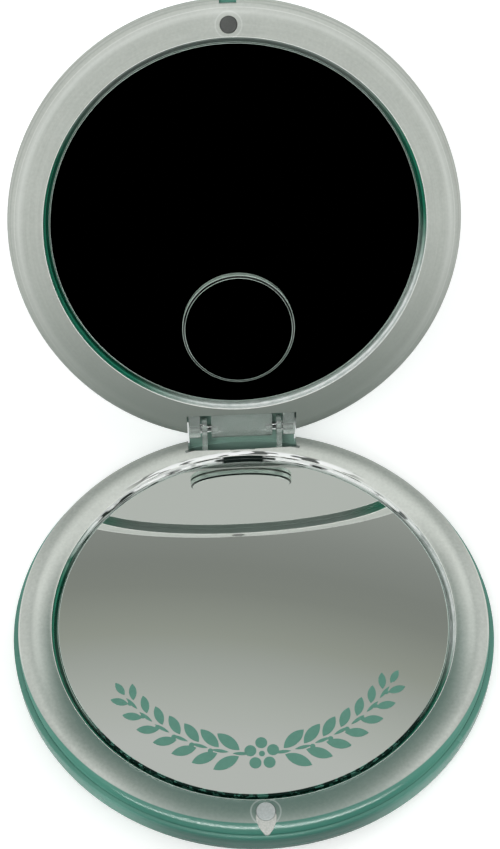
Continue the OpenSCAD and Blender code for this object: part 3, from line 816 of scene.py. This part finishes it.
# Which faces of a frame count as its hinge, inner wall or light line: tolerances, and how flat the line is
zone = dict(notch=0.05, wall=0.02, above=0.1, flat=0.3)


def finishFrame(ob, frost, edge, body, stands, matrix=None):
    # slots: 0 frosted, 1 hinge, 2 inner wall, step and tray, 3 light line along the wall, a highlight painted
    # in pearl
    for p in ob.data.polygons:
        x, y, z = p.center / mm
        away = hypot(x, y)
        if abs(x) < notch["halfWidth"] + zone["notch"] and y > notch["front"] - zone["notch"]:
            part = 1
        elif away < ring["inner"] + zone["wall"] and z > ring["trayBottom"] + zone["above"]:
            part = 2
        elif (away < ring["inner"] + step["line"] and z > step["top"] + zone["above"]
              and p.normal.z > zone["flat"]):
            part = 3
        else:
            part = 0
        p.material_index = part
    keepSlots(ob, body, [frost, cloudyMat, edge, pearlMat], stands, matrix)


finishFrame(baseRing, baseFrost, baseEdgeMat, "base", ["base_frame"])
finishFrame(lidRing, lidFrost, lidEdgeMat, "lid", ["lid_frame"], openLid)
print("frames cut")

# Mirrors: silvered glass discs with a ground edge and a fine bevel
mirror = dict(radius=33.5, bottom=3.85, thick=1.5, backRound=0.05, ground=0.2, line=0.09, lineDrop=0.02,
              steps=224, smooth=5)
# The magnifier: its bevel lies between two fine ground lines
spot = dict(radius=10.3, place=18.9, lift=0.2, thick=1.0, bevelWidth=0.42, bevelDrop=0.3, line=0.07,
            steps=144, smooth=10)
glassFace = dict(flat=0.9999, spotFlat=0.999, upright=0.1)  # how straight up a face looks, to be called so


def glassDisc(name, m):
    r, g, top, line = m["radius"], m["ground"], m["bottom"] + m["thick"], m["line"]
    ob = lathe(name, [(0, m["bottom"]), (r, m["bottom"], m["backRound"]), (r, top - g),
                      (r - line, top - g / 2), (r - g, top - m["lineDrop"]), (r - g - line, top),
                      (0, top)], m["steps"])
    for p in ob.data.polygons:  # slot 0 is the silvered flat, 1 its fine lines, edge and back, 2 the bevel
        away = hypot(p.center.x, p.center.y) / mm
        if p.normal.z > glassFace["flat"]:
            part = 0
        elif r - g < away < r - line and p.normal.z > glassFace["upright"]:
            part = 2
        else:
            part = 1
        p.material_index = part
    return ob


def spotDisc(name, c):
    r, low = c["radius"], mirror["bottom"] + mirror["thick"] + c["lift"]
    top, w, g = low + c["thick"], c["bevelWidth"], c["line"]
    ob = lathe(name, [(0, low), (r, low), (r, top - c["bevelDrop"] - g), (r - g, top - c["bevelDrop"]),
                      (r - w, top - g / 2), (r - w - g, top), (0, top)], c["steps"])
    for p in ob.data.polygons:  # slots as above
        away = hypot(p.center.x, p.center.y) / mm
        line = p.normal.z < glassFace["upright"] or r - g < away < r or r - w - g < away < r - w
        p.material_index = 0 if p.normal.z > glassFace["spotFlat"] else (1 if line else 2)
    return ob


glass = [silverMat, edgeMat, bevelMat]
keepSlots(glassDisc("baseGlass", mirror), "base", glass, ["base_mirror"], None, mirror["smooth"])
keepSlots(glassDisc("lidGlass", mirror), "lid", glass, ["lid_mirror"], openLid, mirror["smooth"])
keepSlots(spotDisc("spotGlass", spot), "lid", glass, ["spot_mirror"],
          openLid @ Matrix.Translation((0, spot["place"] * mm, 0)), spot["smooth"])
print("mirrors ground")

# Catch magnets
magnet = dict(radius=1.5, bottom=4.4, edge=0.12, steps=64)
toBoss = Matrix.Translation((0, -boss["place"] * mm, 0))


def makeMagnet(name, body, mat, stands, matrix, c):
    top, low, r = case["half"] - boss["skin"], c["bottom"], c["radius"]
    ob = lathe(name, [(0, low), (r, low, c["edge"]), (r, top, c["edge"]), (0, top)], c["steps"])
    finishPiece(ob, body, [mat], stands, matrix @ toBoss)


makeMagnet("baseMagnet", "base", nickelMat, ["base_magnet"], Matrix(), magnet)
# the lid's magnet is painted dark (painted reflection)
makeMagnet("lidMagnet", "lid", darkMagnetMat, ["lid_magnet"], openLid, magnet)

glueDrop = dropShape("glueDrop", drop, 0)
combine(glueDrop, rod(boss["hole"], past["high"], toBoss))
finishPiece(glueDrop, "base", [glueMat])


def makePin(name, stands, side, k):
    half = (k["pinOut"] - k["pinIn"]) / 2
    ob = lathe(name, [(0, -half), (k["pin"], -half, k["pinEdge"]), (k["pin"], half, k["pinEdge"]), (0, half)],
               k["pinSteps"])
    at = openLid @ alongX(lidHingeZ, side * k["pinIn"], side * k["pinOut"])
    finishPiece(ob, "lid", [steelMat], stands, at)


makePin("pinLeft", ["hinge_pin_left"], 1, knuckle)
makePin("pinRight", ["hinge_pin_right"], -1, knuckle)

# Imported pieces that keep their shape
kept = {"base_liner": pearlMat, "lid_liner": pearlMat, "base_mirror_tape": foamMat,
        "lid_mirror_tape": foamMat, "spot_mirror_tape": foamMat, "mirror_print": inkMat}
for name, mat in kept.items():
    frame["nodes"][name].material_slots[0].material = mat
print("small pieces made")

# Studio, in metres: pale floor, soft lamps, and a sky that only gloss and mirrors see.
# The sky's colours go from the horizon (0) to overhead (1), tilted a little to one side.
studio = dict(floor="#f2f3f2", floorReach=1.2, floorGlow=0.35, worldLight=0.62,
              keyPlace=(-0.2, -0.58, 0.58), keySize=0.5, keyPower=2.7,
              fillPlace=(0.5, 0.3, 0.6), fillPower=0.9,
              stripPlace=(0, -0.26, 1.25), stripWidth=0.05, stripLength=1.4, stripPower=5,
              skyRadius=1.5, skyTilt=-0.07, darkFrom=-0.3, darkTo=0.1, topFrom=0.8, topTo=0.95,
              skyStops=[(0.0, "#a6aaa5"), (0.3, "#c9ccc8"), (0.45, "#ffffff"), (0.62, "#ffffff"),
                        (0.74, "#a6aaa5"), (0.795, "#858984"), (0.81, "#7f837d"), (0.82, "#82867f"),
                        (0.84, "#94988f"), (0.85, "#9fa39d"), (0.865, "#adb1ab"), (0.88, "#b7bab6"),
                        (1.0, "#bcbfbb")])


def makeFloor(c):
    bm = bmesh.new()
    bmesh.ops.create_grid(bm, x_segments=1, y_segments=1, size=c["floorReach"])
    ob = raw("floor", bm)
    m, t = material("paleFloor")
    path = node(t, "ShaderNodeLightPath")
    matt = node(t, "ShaderNodeBsdfDiffuse", {}, {"Color": linear(c["floor"])})
    lift = node(t, "ShaderNodeMath", {"operation": "MULTIPLY"}, {
        0: path.outputs["Is Camera Ray"], 1: c["floorGlow"]})
    glow = node(t, "ShaderNodeEmission", {}, {"Strength": lift.outputs[0]})
    both = node(t, "ShaderNodeAddShader", {}, {0: matt.outputs[0], 1: glow.outputs[0]})
    node(t, "ShaderNodeOutputMaterial", {}, {"Surface": both.outputs[0]})
    ob.data.materials.append(m)


def makeSky(c):  # dark in front, light behind and at the sides, grey overhead
    bm = bmesh.new()
    bmesh.ops.create_uvsphere(bm, u_segments=64, v_segments=32, radius=c["skyRadius"])
    ob = raw("sky", bm)
    m, t = material("reflectedRoom")
    place = node(t, "ShaderNodeTexCoord").outputs["Object"]
    unit = node(t, "ShaderNodeVectorMath", {"operation": "NORMALIZE"}, {0: place})
    axes = node(t, "ShaderNodeSeparateXYZ", {}, {0: unit.outputs[0]})
    tilt = node(t, "ShaderNodeMath", {"operation": "MULTIPLY_ADD"}, {
        0: axes.outputs[0], 1: c["skyTilt"], 2: axes.outputs[2]})
    ramp = node(t, "ShaderNodeValToRGB", {}, {0: tilt.outputs[0]})
    for at, colour in c["skyStops"][1:-1]:
        ramp.color_ramp.elements.new(at)
    for e, (at, colour) in zip(ramp.color_ramp.elements, c["skyStops"]):
        e.position, e.color = at, linear(colour)
    front = node(t, "ShaderNodeMapRange", soft, {
        "Value": axes.outputs[1], "From Min": c["darkFrom"], "From Max": c["darkTo"]})
    high = node(t, "ShaderNodeMapRange", soft, {
        "Value": axes.outputs[2], "From Min": c["topFrom"], "From Max": c["topTo"]})
    lit = node(t, "ShaderNodeMath", {"operation": "MAXIMUM"}, {0: front.outputs[0], 1: high.outputs[0]})
    glow = node(t, "ShaderNodeEmission", {}, {"Color": ramp.outputs[0], "Strength": lit.outputs[0]})
    node(t, "ShaderNodeOutputMaterial", {}, {"Surface": glow.outputs[0]})
    ob.data.materials.append(m)
    ob.visible_camera = ob.visible_diffuse = ob.visible_transmission = ob.visible_shadow = False


def makeLamp(name, place, size, power, length=0):  # a long one is seen by gloss alone
    data = bpy.data.lights.new(name, "AREA")
    data.shape, data.size, data.energy = "DISK", size, power
    if length:
        data.shape, data.size, data.size_y = "RECTANGLE", length, size
    ob = bpy.data.objects.new(name, data)
    scene.collection.objects.link(ob)
    ob.location = place
    ob.rotation_euler = Vector(place).to_track_quat("Z", "Y").to_euler()
    ob.visible_transmission = ob.visible_camera = False
    ob.visible_glossy, ob.visible_diffuse = bool(length), not length


def makeWorld(c):  # white to the camera and to gloss, a plain level to all else
    world = bpy.data.worlds.new("studio")
    scene.world = world
    world.use_nodes = True
    t = world.node_tree
    t.nodes.clear()
    path = node(t, "ShaderNodeLightPath")
    seen = node(t, "ShaderNodeMath", {"operation": "MAXIMUM"}, {
        0: path.outputs["Is Camera Ray"], 1: path.outputs["Is Glossy Ray"]})
    seen = node(t, "ShaderNodeMath", {"operation": "MAXIMUM"}, {
        0: seen.outputs[0], 1: path.outputs["Is Transmission Ray"]})
    level = node(t, "ShaderNodeMapRange", {}, {
        "Value": seen.outputs[0], "To Min": c["worldLight"], "To Max": 1})
    back = node(t, "ShaderNodeBackground", {}, {"Color": (1, 1, 1, 1), "Strength": level.outputs[0]})
    node(t, "ShaderNodeOutputWorld", {}, {"Surface": back.outputs[0]})


makeFloor(studio)
makeSky(studio)
makeLamp("key", studio["keyPlace"], studio["keySize"], studio["keyPower"])
makeLamp("fill", studio["fillPlace"], studio["keySize"], studio["fillPower"])
makeLamp("strip", studio["stripPlace"], studio["stripWidth"], studio["stripPower"], studio["stripLength"])
makeWorld(studio)
scene.view_settings.view_transform = "Standard"
print("studio lit")
